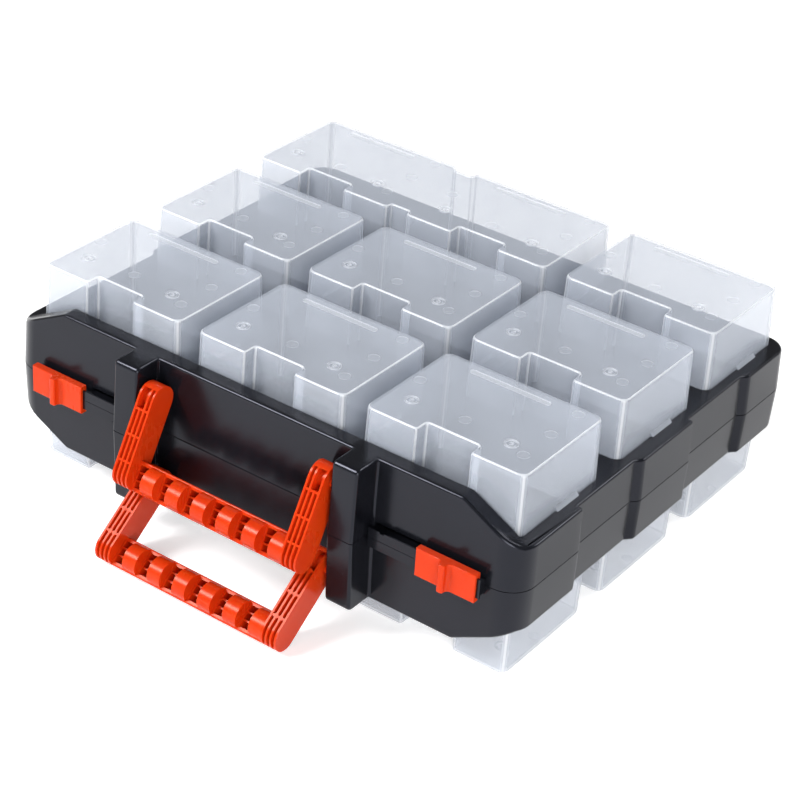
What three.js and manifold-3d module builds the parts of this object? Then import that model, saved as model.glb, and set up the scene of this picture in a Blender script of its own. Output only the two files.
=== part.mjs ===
// Double-sided organizer box: two identical half cases hinged at the back, with clear bins on both faces.
// Each half is drawn with the seam at height zero and its bins standing up from the seam.
// The lower half is the same half, turned half a turn about the front-to-back axis.
// Lengths are in millimetres. X runs to the right, Y to the back and Z up.
import * as THREE from 'three';
import { mergeVertices } from 'three/addons/utils/BufferGeometryUtils.js';
import Module from 'manifold-3d';

const wasm = await Module();
wasm.setup();

// Clearances and cuts
const fitGap = 0.3;
const overrun = 1;

// Case moulding
const caseWidth = 380;
const caseDepth = 310;
const deckHeight = 28.5;
const shellWall = 2.2;
const deckEdge = 2.6;
const frontCornerRadius = 17;
const rearCornerRadius = 15;
const seamGap = 0.3;
const shellSlope = 0.03;

// Recessed panels in the side walls, measured from the front
const recessDepth = 4;
const recessRamp = 4.8;
const frontRecessStart = 63.2;
const frontRecessLength = 66;
const rearRecessStart = 187.3;
const rearRecessLength = 69.5;

// Raised apron behind the handles
const apronHeight = 48.3;
const apronThickness = 13;
const apronFlatWidth = 295.6;
const apronSlopeRun = 38.2;

// Bins, measured at the closed end
const binReach = 68.2;
const binWidth = 109;
const binDepth = 82;
const binWall = 1.4;
const binSlope = 0.021;
const binCornerRadius = 6;
const binEdge = 1.6;
const columnPitch = 123.1;
const rowPitch = 103.5;
const frontMargin = 14.8;
const notchWidth = 35.4;
const notchDepth = 10;
const waistDepth = 5.3;
const waistCornerRadius = 4;
const rimWidth = 2;
const rimHeight = 2.9;
const sleeveGap = 0.5;
const sleeveWall = 1.6;

// Snap tabs and label slot of a bin
const tabLength = 22;
const tabOffset = 5;
const tabHeight = 2.2;
const tabReach = 1.5;
const labelLength = 55.5;
const labelWidth = 4;
const labelDepth = 0.5;
const labelOffset = 4;
const labelMargin = 9.7;

// Divider plate between the layers
const dividerThickness = 2;
const dividerClearance = 0.8;
const dividerCornerRadius = 16;

// Rear hinges
const hingeReach = 6.5;
const hingeOffset = 120;
const knuckleRadius = 5.5;
const knuckleWidth = 11.6;
const knuckleGap = 0.4;
const knuckleWebHeight = 9;
const tongueWidth = 12;
const tongueClearance = 0.6;
const pinRadius = 2;

// Handle pillars
const pillarInside = 72;
const pillarWidth = 18;
const pillarFoot = 19.1;
const pillarHead = 17.2;
const pillarEdge = 3.5;
const pillarWall = 2;

// Handles
const pivotForward = 10.8;
const pivotHeight = 29.6;
const armLength = 46.7;
const handleRadius = 9.6;
const armClearance = 3.1;
const armWidth = 11.2;
const armWall = 1.3;
const armWeb = 1.6;
const armRim = 1.8;
const armRimTurn = Math.PI / 4;
const crossRibWall = 1.4;
const crossRibStart = 8;
const crossRibPitch = 16;
const bossRadius = 5.5;
const stubRadius = 3.5;
const stubReach = 2;
const gripPlate = 2;
const gripShellRadius = 8.9;
const gripShellWall = 1.8;
const gripEndWall = 1.3;
const gripRibWall = 1.1;
const gripRibOffset = 2.6;
const floorGap = 0.5;
const upperHandleDrop = 62;

// Latch rail on the front panel
const railStartGap = 1.5;
const railLockLength = 32.5;
const railTrackLength = 44.5;
const railFlangeFront = 5.7;
const railFlangeWall = 1;
const railHalfHeight = 6.4;
const railWebHalfHeight = 4.4;
const railPanelGap = 0.4;
const railSlotHeight = 3;
const detentStart = 8;
const detentWidth = 3;
const detentDepth = 1;

// Latch slider
const latchLength = 40.4;
const latchEndGap = 2.2;
const latchHalfHeight = 9.3;
const latchPlate = 1.8;
const latchLipDepth = 4.8;
const latchHookGap = 0.4;
const latchRibFront = 4.5;
const latchRibWidth = 4.4;
const latchRibFillet = 2.8;
const latchRibRound = 1.2;
const latchRibShoulder = 0.4;

// Counts of flat faces and of repeated pieces
const cornerSteps = 2;
const roundSteps = 14;
const endSteps = 8;
const gripSteps = 6;
const gripSlots = 12;
const armChannels = 3;
const crossRibs = 3;

// Places that follow from the sizes
const frontY = -(frontMargin + binDepth / 2 + rowPitch);
const rearY = frontY + caseDepth;
const middleY = (frontY + rearY) / 2;
const seamLevel = seamGap / 2;
const hingeY = rearY + hingeReach;
const pinHoleRadius = pinRadius + fitGap;
const pillarOutside = pillarInside + pillarWidth;
const rimLevel = dividerThickness / 2 + fitGap;
const rimTop = rimLevel + rimHeight;
const sleeveLevel = rimTop + fitGap;
const tabLevel = deckHeight + fitGap;
const armOutside = pillarInside - armClearance;
const armInside = armOutside - armWidth;
const armChannel = (armWidth - (armChannels + 1) * armWall) / armChannels;
const railStart = pillarOutside + railStartGap;
const railLockEnd = railStart + railLockLength;
const railEnd = railLockEnd + railTrackLength;
const latchOutside = railEnd - latchEndGap;
const latchFront = railFlangeFront + fitGap + latchPlate;
const lowerHandleRise = binReach - floorGap - handleRadius - pivotHeight;
const lowerHandleDrop = Math.asin(lowerHandleRise / armLength);

// A closed geometry as a solid that can be joined and cut
function solid(geometry) {
  const bare = geometry.clone();
  bare.deleteAttribute('normal');
  bare.deleteAttribute('uv');
  const merged = mergeVertices(bare);
  const vertProperties = new Float32Array(merged.attributes.position.array);
  const triVerts = new Uint32Array(merged.index.array);
  return new wasm.Manifold(new wasm.Mesh({ numProp: 3, vertProperties, triVerts }));
}

// Several solids as one
function join(solids) {
  return solids.reduce((whole, piece) => whole.add(piece));
}

// One solid less several others
function cut(body, cutters) {
  return cutters.reduce((left, cutter) => left.subtract(cutter), body);
}

// A finished solid as a flat-faced geometry
function geometryOf(body) {
  const { vertProperties, triVerts } = body.getMesh();
  const indexed = new THREE.BufferGeometry();
  indexed.setAttribute('position', new THREE.BufferAttribute(new Float32Array(vertProperties), 3));
  indexed.setIndex(new THREE.BufferAttribute(new Uint32Array(triVerts), 1));
  const geometry = indexed.toNonIndexed();
  geometry.computeVertexNormals();
  return geometry;
}

// Points along an arc, ends included
function arc(centreX, centreY, radius, from, to, steps) {
  const points = [];
  for (let step = 0; step <= steps; step += 1) {
    const angle = from + ((to - from) * step) / steps;
    points.push(new THREE.Vector2(centreX + radius * Math.cos(angle), centreY + radius * Math.sin(angle)));
  }
  return points;
}

// An outline from corners given as [x, y, radius], with a rounded corner wherever a radius is given
function outline(corners) {
  const points = [];
  corners.forEach(([x, y, radius], index) => {
    const corner = new THREE.Vector2(x, y);
    if (!radius) {
      points.push(corner);
      return;
    }
    const [beforeX, beforeY] = corners[(index + corners.length - 1) % corners.length];
    const [afterX, afterY] = corners[(index + 1) % corners.length];
    const before = new THREE.Vector2(beforeX - x, beforeY - y).normalize();
    const after = new THREE.Vector2(afterX - x, afterY - y).normalize();
    const halfAngle = before.angleTo(after) / 2;
    const bisector = before.clone().add(after).normalize();
    const centre = corner.clone().addScaledVector(bisector, radius / Math.sin(halfAngle));
    const start = corner.clone().addScaledVector(before, radius / Math.tan(halfAngle)).sub(centre);
    const end = corner.clone().addScaledVector(after, radius / Math.tan(halfAngle)).sub(centre);
    const turn = Math.atan2(start.cross(end), start.dot(end));
    points.push(...arc(centre.x, centre.y, radius, start.angle(), start.angle() + turn, cornerSteps));
  });
  return points;
}

// A plan outline raised between two heights, with an optional chamfer round its top
function raise(points, bottom, top, edge = 0) {
  const options = { depth: top - bottom - edge, bevelEnabled: edge > 0, bevelSegments: 1, steps: 1 };
  options.bevelThickness = edge;
  options.bevelSize = edge;
  options.bevelOffset = -edge;
  const geometry = new THREE.ExtrudeGeometry(new THREE.Shape(points), options);
  geometry.translate(0, 0, bottom);
  return geometry;
}

// Walls drawn in by a slope above a level, towards the nearest of the given centres
function lean(geometry, slope, level, centresX, centreY) {
  const place = geometry.attributes.position;
  for (let index = 0; index < place.count; index += 1) {
    const shift = (place.getZ(index) - level) * slope;
    const x = place.getX(index);
    const y = place.getY(index);
    const nearest = centresX.reduce((best, centre) => (Math.abs(x - centre) < Math.abs(x - best) ? centre : best));
    place.setX(index, x - Math.sign(x - nearest) * shift);
    place.setY(index, y - Math.sign(y - centreY) * shift);
  }
  return geometry;
}

// A box between two limits on each axis
function block([x0, x1], [y0, y1], [z0, z1]) {
  const geometry = new THREE.BoxGeometry(x1 - x0, y1 - y0, z1 - z0);
  geometry.translate((x0 + x1) / 2, (y0 + y1) / 2, (z0 + z1) / 2);
  return solid(geometry);
}

// An outline in Y and Z carried along X
function alongX(points, x0, x1) {
  const geometry = new THREE.ExtrudeGeometry(new THREE.Shape(points), { depth: x1 - x0, bevelEnabled: false });
  const turn = new THREE.Matrix4().makeBasis(
    new THREE.Vector3(0, 1, 0), new THREE.Vector3(0, 0, 1), new THREE.Vector3(1, 0, 0));
  geometry.applyMatrix4(turn);
  geometry.translate(x0, 0, 0);
  return solid(geometry);
}

// An outline in X and Z carried along Y
function alongY(points, y0, y1) {
  const geometry = new THREE.ExtrudeGeometry(new THREE.Shape(points), { depth: y1 - y0, bevelEnabled: false });
  geometry.rotateX(Math.PI / 2);
  geometry.translate(0, y1, 0);
  return solid(geometry);
}

// A round bar along X
function rod(radius, x0, x1, y, z) {
  const geometry = new THREE.CylinderGeometry(radius, radius, x1 - x0, roundSteps);
  geometry.rotateZ(Math.PI / 2);
  geometry.translate((x0 + x1) / 2, y, z);
  return solid(geometry);
}

// Plan of the case moulding, drawn in by an inset
function caseOutline(inset) {
  const side = caseWidth / 2 - inset;
  const low = side - recessDepth;
  const front = frontY + inset;
  const rear = rearY - inset;
  const right = [[side, front, frontCornerRadius - inset]];
  const recesses = [[frontRecessStart, frontRecessLength], [rearRecessStart, rearRecessLength]];
  recesses.forEach(([start, length]) => {
    const step = frontY + start - inset;
    const ramp = frontY + start + length + inset;
    right.push([side, step], [low, step], [low, ramp - recessRamp], [side, ramp]);
  });
  right.push([side, rear, rearCornerRadius - inset]);
  const left = right.map(([x, y, radius]) => [-x, y, radius]).reverse();
  return outline([...right, ...left]);
}

// Case plan raised to a height and drawn in with the draft of the mould
function caseBlock(inset, bottom, top, edge) {
  return solid(lean(raise(caseOutline(inset), bottom, top, edge), shellSlope, 0, [0], middleY));
}

// Front view of the raised apron, drawn in by an inset
function apronOutline(inset) {
  const slope = new THREE.Vector2(apronSlopeRun, apronHeight - deckHeight);
  const topShift = (inset * (slope.length() - slope.x)) / slope.y;
  const deckShift = (inset * slope.length()) / slope.y;
  const top = apronFlatWidth / 2 - topShift;
  const foot = apronFlatWidth / 2 + apronSlopeRun - deckShift;
  const points = [[-foot, 0], [foot, 0], [foot, deckHeight], [top, apronHeight - inset]];
  points.push([-top, apronHeight - inset], [-foot, deckHeight]);
  return outline(points);
}

// Side view of a handle pillar, drawn in by an inset
function pillarOutline(inset, back) {
  const foot = frontY - pillarFoot + inset;
  const head = frontY - pillarHead + inset;
  const top = apronHeight - inset;
  const bottom = inset > 0 ? -overrun : seamLevel;
  return outline([[back, bottom], [foot, bottom], [head, top, pillarEdge - inset], [back, top]]);
}

// Centres of the single cells that one bin covers, measured from its middle
function cellCentres(cells) {
  return cells === 1 ? [0] : [-columnPitch / 2, columnPitch / 2];
}

// Plan of a bin over one or two cells, grown outwards by an amount
function binOutline(cells, grow) {
  const halfWidth = binWidth / 2 + grow;
  const halfNotch = notchWidth / 2 - grow;
  const front = -binDepth / 2 - grow;
  const rear = binDepth / 2 + grow;
  const corner = binCornerRadius + grow;
  const centres = cellCentres(cells);
  const corners = [];
  centres.forEach((centre, index) => {
    const last = index + 1 === centres.length;
    corners.push([centre - halfWidth, front, index === 0 ? corner : waistCornerRadius]);
    corners.push([centre - halfNotch, front], [centre - halfNotch, front + notchDepth]);
    corners.push([centre + halfNotch, front + notchDepth], [centre + halfNotch, front]);
    corners.push([centre + halfWidth, front, last ? corner : waistCornerRadius]);
    if (!last) {
      corners.push([centre + halfWidth, front + waistDepth]);
      corners.push([centres[index + 1] - halfWidth, front + waistDepth]);
    }
  });
  [...centres].reverse().forEach((centre, index) => {
    const last = index + 1 === centres.length;
    corners.push([centre + halfWidth, rear, index === 0 ? corner : waistCornerRadius]);
    corners.push([centre - halfWidth, rear, last ? corner : waistCornerRadius]);
    if (!last) {
      corners.push([centre - halfWidth, rear - waistDepth]);
      corners.push([centre - columnPitch + halfWidth, rear - waistDepth]);
    }
  });
  return outline(corners);
}

// Bin plan raised between two heights, drawn in with the draft of the bin
function binBlock(cells, grow, bottom, top, edge = 0) {
  const geometry = raise(binOutline(cells, grow), bottom, top, edge);
  return lean(geometry, binSlope, binReach, cellCentres(cells), 0);
}

// Clear bin, open at the seam
function binSolid(cells) {
  const centres = cellCentres(cells);
  const below = [-caseWidth, caseWidth];
  const outside = solid(binBlock(cells, 0, rimLevel, binReach, binEdge));
  const underside = block(below, below, [-binReach, rimLevel]);
  const rim = solid(binBlock(cells, rimWidth, rimLevel, rimTop));
  const inside = solid(binBlock(cells, -binWall, rimLevel - overrun, binReach - binWall));
  const wallX = (binWidth - binWall) / 2 + (binReach - tabLevel) * binSlope;
  const tabX = wallX + binWall / 2 + sleeveGap + tabReach;
  const tabTop = tabLevel + tabHeight;
  const tabs = [-1, 1].map((side) => {
    const root = side * (centres.at(-1) + wallX);
    const tip = side * (centres.at(-1) + tabX);
    const points = outline([[root, tabLevel], [tip, tabLevel], [root, tabTop]]);
    return alongY(points, tabOffset - tabLength / 2, tabOffset + tabLength / 2);
  });
  const labels = centres.map((centre) => {
    const middle = centre - labelOffset;
    const rear = binDepth / 2 - labelMargin;
    return block(
      [middle - labelLength / 2, middle + labelLength / 2],
      [rear - labelWidth / 2, rear + labelWidth / 2],
      [binReach - labelDepth, binReach + overrun]);
  });
  return cut(join([cut(outside, [underside]), rim, ...tabs]), [inside, ...labels]);
}

// Bins of one half, with the cells that each covers and its place
function binPlaces() {
  const rows = [['front', -rowPitch], ['centre', 0]];
  const columns = [-columnPitch, 0, columnPitch];
  const places = rows.flatMap(([row, y]) => columns.map((x, column) => ({ row, column, cells: 1, x, y })));
  places.push({ row: 'rear', column: 2, cells: 1, x: columnPitch, y: rowPitch });
  places.push({ row: 'rear', column: 'double', cells: 2, x: -columnPitch / 2, y: rowPitch });
  return places;
}

// Rail that the latch slides on, with its track on one side only
function rails() {
  const flange = [frontY - railFlangeFront, frontY - railFlangeFront + railFlangeWall];
  const web = [flange[0], frontY + shellWall / 2];
  const farWeb = [flange[0], frontY - railPanelGap];
  const pieces = [-1, 1].flatMap((side) => {
    const lock = [side * railStart, side * railLockEnd].sort((a, b) => a - b);
    return [
      block(lock, flange, [seamLevel, railHalfHeight]),
      block(lock, web, [seamLevel, railWebHalfHeight]),
    ];
  });
  const track = [-railEnd, -railLockEnd];
  pieces.push(block(track, flange, [-railHalfHeight, railHalfHeight]));
  pieces.push(block(track, web, [seamLevel, railWebHalfHeight]));
  pieces.push(block(track, farWeb, [-railWebHalfHeight, railWebHalfHeight]));
  return pieces;
}

// Core holes behind the rail, and the notch that holds the slider
function railCuts() {
  const panel = [frontY - railFlangeFront / 2 + railFlangeWall, frontY + shellWall + overrun];
  const holes = [-1, 1].map((side) => {
    const lock = [side * railStart, side * railLockEnd].sort((a, b) => a - b);
    return block(lock, panel, [railWebHalfHeight, railWebHalfHeight + railSlotHeight]);
  });
  const detentX = railStart + detentStart;
  const flange = [frontY - railFlangeFront - overrun, frontY - railFlangeFront + railFlangeWall + overrun];
  const top = [railHalfHeight - detentDepth, railHalfHeight + overrun];
  return [...holes, block([detentX, detentX + detentWidth], flange, top)];
}

// Places of one half's knuckles along the hinge
function knucklePlaces() {
  const inner = tongueWidth / 2 + knuckleGap;
  const outer = inner + knuckleWidth + knuckleGap;
  return [-hingeOffset, hingeOffset].flatMap((centre) => [
    [centre - inner - knuckleWidth, centre - inner],
    [centre + outer, centre + outer + knuckleWidth],
  ]);
}

// Half case with its deck, sleeves, apron, pillars, rails and knuckles
function shellSolid() {
  const rearOfApron = frontY + apronThickness;
  const tall = caseBlock(0, seamLevel, apronHeight, 0);
  const apron = tall.intersect(alongY(apronOutline(0), frontY - overrun, rearOfApron));
  const tallInside = caseBlock(shellWall, -overrun, apronHeight, 0);
  const apronInside = tallInside.intersect(
    alongY(apronOutline(shellWall), frontY, rearOfApron - shellWall));
  const underside = block([-caseWidth, caseWidth], [-caseWidth, caseWidth], [-deckHeight, seamLevel]);
  const body = cut(caseBlock(0, seamLevel, deckHeight, deckEdge), [underside]);
  const pillars = [-1, 1].map((side) => {
    const ends = [side * pillarInside, side * pillarOutside].sort((a, b) => a - b);
    return alongX(pillarOutline(0, frontY + apronThickness / 2), ...ends);
  });
  const pillarHollows = [-1, 1].map((side) => {
    const near = side * (pillarInside + pillarWall);
    const far = side * (pillarOutside - pillarWall);
    return alongX(pillarOutline(pillarWall, frontY + shellWall + overrun), ...[near, far].sort((a, b) => a - b));
  });
  const hollow = join([caseBlock(shellWall, -overrun, deckHeight - shellWall, 0), apronInside, ...pillarHollows]);
  const places = binPlaces();
  const sleeves = places.map(({ cells, x, y }) => {
    const geometry = binBlock(cells, sleeveGap + sleeveWall, sleeveLevel, deckHeight - shellWall / 2);
    return solid(geometry.translate(x, y, 0));
  });
  const windows = places.map(({ cells, x, y }) => {
    const geometry = binBlock(cells, sleeveGap, sleeveLevel - overrun, deckHeight + overrun);
    return solid(geometry.translate(x, y, 0));
  });
  const knuckles = knucklePlaces().flatMap(([x0, x1]) => {
    const wallY = rearY - shellWall;
    const points = [[wallY, seamLevel], [hingeY, seamLevel], [hingeY, knuckleRadius], [wallY, knuckleWebHeight]];
    return [rod(knuckleRadius, x0, x1, hingeY, 0), alongX(outline(points), x0, x1)];
  });
  const pinHoles = knucklePlaces().map(([x0, x1]) => (
    rod(pinHoleRadius, x0 - overrun, x1 + overrun, hingeY, 0)));
  const tongueSlots = [-hingeOffset, hingeOffset].map((centre) => {
    const half = tongueWidth / 2 + tongueClearance;
    const top = dividerThickness / 2 + tongueClearance;
    return block([centre - half, centre + half], [rearY - shellWall - overrun, rearY + overrun], [0, top]);
  });
  const bores = [-1, 1].map((side) => {
    const ends = [side * (pillarInside - overrun), side * (pillarInside + pillarWall + overrun)];
    return rod(stubRadius + fitGap, ...ends.sort((a, b) => a - b), frontY - pivotForward, pivotHeight);
  });
  const hollowed = cut(join([body, apron, ...pillars]), [hollow]);
  const fitted = join([hollowed, ...sleeves, ...knuckles, ...rails()]);
  return cut(fitted, [...windows, ...pinHoles, ...tongueSlots, ...bores, ...railCuts()]);
}

// Handle about its pivot, with the arms reaching forward
function handleSolid() {
  const tip = -armLength;
  const side = [
    ...arc(0, 0, handleRadius, -Math.PI / 2, Math.PI / 2, endSteps),
    ...arc(tip, 0, handleRadius, Math.PI / 2, (3 * Math.PI) / 2, endSteps),
  ];
  const channelEnd = handleRadius - armRim;
  const webAngle = Math.asin(armWeb / 2 / channelEnd);
  const recess = (face, start, ends) => {
    const bend = arc(0, 0, channelEnd, webAngle, armRimTurn, endSteps / 2);
    const rounded = bend.map((point) => new THREE.Vector2(point.x, face * point.y));
    const open = face * (handleRadius + overrun);
    const mouth = [new THREE.Vector2(rounded.at(-1).x, open), new THREE.Vector2(start, open)];
    return alongX([new THREE.Vector2(start, (face * armWeb) / 2), ...rounded, ...mouth], ...ends);
  };
  const pieces = [];
  const cutters = [];
  const ribs = [];
  [-1, 1].forEach((hand) => {
    pieces.push(alongX(side, ...[hand * armInside, hand * armOutside].sort((a, b) => a - b)));
    for (let channel = 0; channel < armChannels; channel += 1) {
      const near = armInside + armWall + channel * (armWall + armChannel);
      const ends = [hand * near, hand * (near + armChannel)].sort((a, b) => a - b);
      [-1, 1].forEach((face) => {
        let channelCut = recess(face, tip - handleRadius - overrun, ends);
        for (let rib = 0; rib < crossRibs; rib += 1) {
          const middle = -(crossRibStart + rib * crossRibPitch);
          const thickness = [middle - crossRibWall / 2, middle + crossRibWall / 2];
          const span = [-handleRadius - overrun * 2, handleRadius + overrun * 2];
          channelCut = channelCut.subtract(block([ends[0] - overrun, ends[1] + overrun], thickness, span));
        }
        cutters.push(channelCut);
      });
    }
    const bossInside = armOutside - 2 * armChannel - 3 * armWall;
    const roomEnds = [hand * (bossInside + armWall), hand * (armOutside - armWall)].sort((a, b) => a - b);
    [-1, 1].forEach((face) => {
      cutters.push(recess(face, crossRibWall / 2 - crossRibStart, roomEnds));
    });
    ribs.push(rod(bossRadius, ...[hand * bossInside, hand * armOutside].sort((a, b) => a - b), 0, 0));
    const stubInside = armOutside - armWall;
    const stubOutside = pillarInside + pillarWall + stubReach;
    ribs.push(rod(stubRadius, ...[hand * stubInside, hand * stubOutside].sort((a, b) => a - b), 0, 0));
  });
  const gripEdges = [tip - handleRadius, tip + handleRadius];
  const sides = [-armInside - armWall / 2, armInside + armWall / 2];
  pieces.push(block(sides, gripEdges, [-gripPlate / 2, gripPlate / 2]));
  const slot = (2 * armInside) / gripSlots;
  const inner = gripShellRadius - gripShellWall;
  for (let index = 0; index < gripSlots; index += 1) {
    const face = index % 2 === 0 ? -1 : 1;
    const start = -armInside + index * slot;
    const shell = arc(tip, 0, gripShellRadius, 0, Math.PI, gripSteps);
    pieces.push(alongX(shell.map((point) => new THREE.Vector2(point.x, face * point.y)), start, start + slot));
    const open = -face * (gripPlate / 2 + overrun);
    const core = arc(tip, 0, inner, 0, Math.PI, gripSteps);
    const corePoints = core.map((point) => new THREE.Vector2(point.x, face * point.y));
    corePoints.push(new THREE.Vector2(tip - inner, open), new THREE.Vector2(tip + inner, open));
    cutters.push(alongX(corePoints, start + gripEndWall, start + slot - gripEndWall));
    const roof = Math.sqrt(inner ** 2 - gripRibOffset ** 2) + gripShellWall / 2;
    const depth = [(-face * gripPlate) / 2, face * roof].sort((a, b) => a - b);
    const length = [start + gripEndWall / 2, start + slot - gripEndWall / 2];
    [-1, 1].forEach((row) => {
      const middle = tip + row * gripRibOffset;
      ribs.push(block(length, [middle - gripRibWall / 2, middle + gripRibWall / 2], depth));
    });
  }
  return join([cut(join(pieces), cutters), ...ribs]);
}

// Latch slider on the track of its own half
function latchSolid() {
  const front = frontY - latchFront;
  const back = front + latchLipDepth;
  const insideFront = front + latchPlate;
  const hookFront = frontY - railFlangeFront + railFlangeWall + fitGap;
  const inside = railHalfHeight + fitGap;
  const hook = railWebHalfHeight + latchHookGap;
  const upper = [[front, latchHalfHeight], [back, latchHalfHeight], [back, hook], [hookFront, hook]];
  upper.push([hookFront, inside], [insideFront, inside]);
  const lower = upper.map(([y, z]) => [y, -z]).reverse();
  const body = alongX(outline([...upper, ...lower]), -latchOutside, latchLength - latchOutside);
  const middle = latchLength / 2 - latchOutside;
  const half = latchRibWidth / 2;
  const shoulder = half + latchRibFillet + latchRibShoulder;
  const tip = front - latchRibFront;
  const right = [[half, tip, latchRibRound], [half, front, latchRibFillet], [shoulder, front]];
  right.push([shoulder, front + latchPlate / 2]);
  const left = right.map(([x, y, radius]) => [-x, y, radius]).reverse();
  const ribPoints = outline([...right, ...left].map(([x, y, radius]) => [x + middle, y, radius]));
  const rib = solid(raise(ribPoints, -latchHalfHeight, latchHalfHeight));
  return join([body, rib]);
}

// Divider plate with the tongues that ride on the hinge pins
function dividerSolid() {
  const side = caseWidth / 2 - recessDepth - shellWall - dividerClearance;
  const front = frontY + shellWall + dividerClearance;
  const rear = rearY - shellWall - dividerClearance;
  const radius = dividerCornerRadius;
  const corners = [[-side, front, radius], [side, front, radius], [side, rear, radius], [-side, rear, radius]];
  const half = dividerThickness / 2;
  const plate = solid(raise(outline(corners), -half, half));
  const tongues = [-hingeOffset, hingeOffset].flatMap((centre) => {
    const ends = [centre - tongueWidth / 2, centre + tongueWidth / 2];
    return [block(ends, [rear - overrun, hingeY], [-half, half]), rod(knuckleRadius, ...ends, hingeY, 0)];
  });
  const holes = [-hingeOffset, hingeOffset].map((centre) => {
    const reach = tongueWidth / 2 + overrun;
    return rod(pinHoleRadius, centre - reach, centre + reach, hingeY, 0);
  });
  return cut(join([plate, ...tongues]), holes);
}

// Finishes
const finishes = {
  black: { color: 0x2a2a2d, roughness: 0.42, metalness: 0 },
  orange: { color: 0xe8511f, roughness: 0.38, metalness: 0 },
  clear: { color: 0xdfe3ea, roughness: 0.3, metalness: 0, transparent: true, opacity: 0.45 },
  steel: { color: 0xb9bcc0, roughness: 0.3, metalness: 1 },
};

// One named piece
function piece(name, geometry, finish) {
  const mesh = new THREE.Mesh(geometry, new THREE.MeshStandardMaterial(finishes[finish]));
  mesh.name = name;
  return mesh;
}

const shellGeometry = geometryOf(shellSolid());
const handleGeometry = geometryOf(handleSolid());
const latchGeometry = geometryOf(latchSolid());
const singleBinGeometry = geometryOf(binSolid(1));
const doubleBinGeometry = geometryOf(binSolid(2));

// One half case with everything that it carries
function buildHalf(level, columnNames, latchName, handleAngle) {
  const half = new THREE.Group();
  half.add(piece(`${level}_shell`, shellGeometry.clone(), 'black'));
  binPlaces().forEach(({ row, column, cells, x, y }) => {
    const place = cells === 1 ? columnNames[column] : column;
    const geometry = cells === 1 ? singleBinGeometry : doubleBinGeometry;
    const bin = piece(`${level}_bin_${row}_${place}`, geometry.clone(), 'clear');
    bin.position.set(x, y, 0);
    half.add(bin);
  });
  const handle = piece(`${level}_handle`, handleGeometry.clone(), 'orange');
  handle.position.set(0, frontY - pivotForward, pivotHeight);
  handle.rotation.x = handleAngle;
  half.add(handle);
  half.add(piece(latchName, latchGeometry.clone(), 'orange'));
  half.position.z = binReach;
  return half;
}

const organizer = new THREE.Group();
organizer.add(buildHalf('upper', ['left', 'middle', 'right'], 'left_latch', THREE.MathUtils.degToRad(upperHandleDrop)));
const lowerHalf = buildHalf('lower', ['right', 'middle', 'left'], 'right_latch', -lowerHandleDrop);
lowerHalf.rotation.y = Math.PI;
organizer.add(lowerHalf);

const divider = piece('divider_panel', geometryOf(dividerSolid()), 'black');
divider.position.z = binReach;
organizer.add(divider);
[['left', -hingeOffset], ['right', hingeOffset]].forEach(([side, x]) => {
  const halfPin = tongueWidth / 2 + 2 * (knuckleGap + knuckleWidth);
  const pin = piece(`hinge_pin_${side}`, geometryOf(rod(pinRadius, -halfPin, halfPin, 0, 0)), 'steel');
  pin.position.set(x, hingeY, binReach);
  organizer.add(pin);
});

export default organizer;
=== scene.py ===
"""Looks of a double-sided organizer box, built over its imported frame.

The case is two identical half mouldings, hinged at the back. Clear bins snap into the windows of each half, orange
handles turn on pillars at the front, and orange sliders lock the halves together. Sizes are in millimetres. A half is
modelled with the seam at height zero and its bins standing up, and is then put in its place.
"""

import logging
import math
from collections.abc import Callable, Iterator, Sequence
from contextlib import contextmanager
from dataclasses import dataclass
from enum import Enum

import bpy
from mathutils import Matrix, Vector

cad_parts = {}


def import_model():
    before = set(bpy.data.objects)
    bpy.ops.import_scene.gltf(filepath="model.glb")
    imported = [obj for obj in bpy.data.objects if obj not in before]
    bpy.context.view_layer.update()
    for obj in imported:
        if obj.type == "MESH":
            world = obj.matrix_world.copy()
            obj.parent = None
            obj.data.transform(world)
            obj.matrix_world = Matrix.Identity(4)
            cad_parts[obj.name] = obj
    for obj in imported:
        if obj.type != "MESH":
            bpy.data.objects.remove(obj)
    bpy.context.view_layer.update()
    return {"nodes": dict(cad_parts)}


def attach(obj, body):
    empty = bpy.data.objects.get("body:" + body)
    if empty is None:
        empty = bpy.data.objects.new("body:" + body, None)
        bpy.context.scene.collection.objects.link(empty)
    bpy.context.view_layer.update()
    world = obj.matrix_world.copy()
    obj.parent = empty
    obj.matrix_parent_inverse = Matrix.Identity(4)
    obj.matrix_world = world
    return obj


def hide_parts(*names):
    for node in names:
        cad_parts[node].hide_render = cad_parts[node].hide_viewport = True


MM = 0.001
# How near a point is to a plane that it counts as lying in it
TOUCH = 0.01
LOOSE_TOUCH = 0.05
# How far a cutter reaches past what it cuts, or past a whole half, and a joined piece into what it joins
OVERRUN = 1.0
WIDE_OVERRUN = 10.0
BITE = 0.1
# Degrees that the surface turns where the mould has a real edge
SHARP = 25.0

log = logging.getLogger("organizer")

Thing = bpy.types.Object
Socket = bpy.types.NodeSocket
Span = Sequence[float]
PointTest = Callable[[Vector], bool]
EdgeTest = Callable[[Vector, Vector, float], bool]


class Change(Enum):
    """What one solid does to another."""

    CUT = "DIFFERENCE"
    JOIN = "UNION"


class Level(Enum):
    """The two halves of the case, with the body that each belongs to."""

    UPPER = "upper_half"
    LOWER = "lower_half"

    @property
    def word(self) -> str:
        """The level's word in the names of its pieces."""
        return self.name.lower()


# Modelling


def choose(thing: Thing) -> None:
    """Selects an object alone and makes it active."""
    bpy.ops.object.select_all(action="DESELECT")
    thing.select_set(True)
    bpy.context.view_layer.objects.active = thing


def discard(*things: Thing) -> None:
    """Removes objects that are used up."""
    for thing in things:
        bpy.data.objects.remove(thing)


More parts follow.
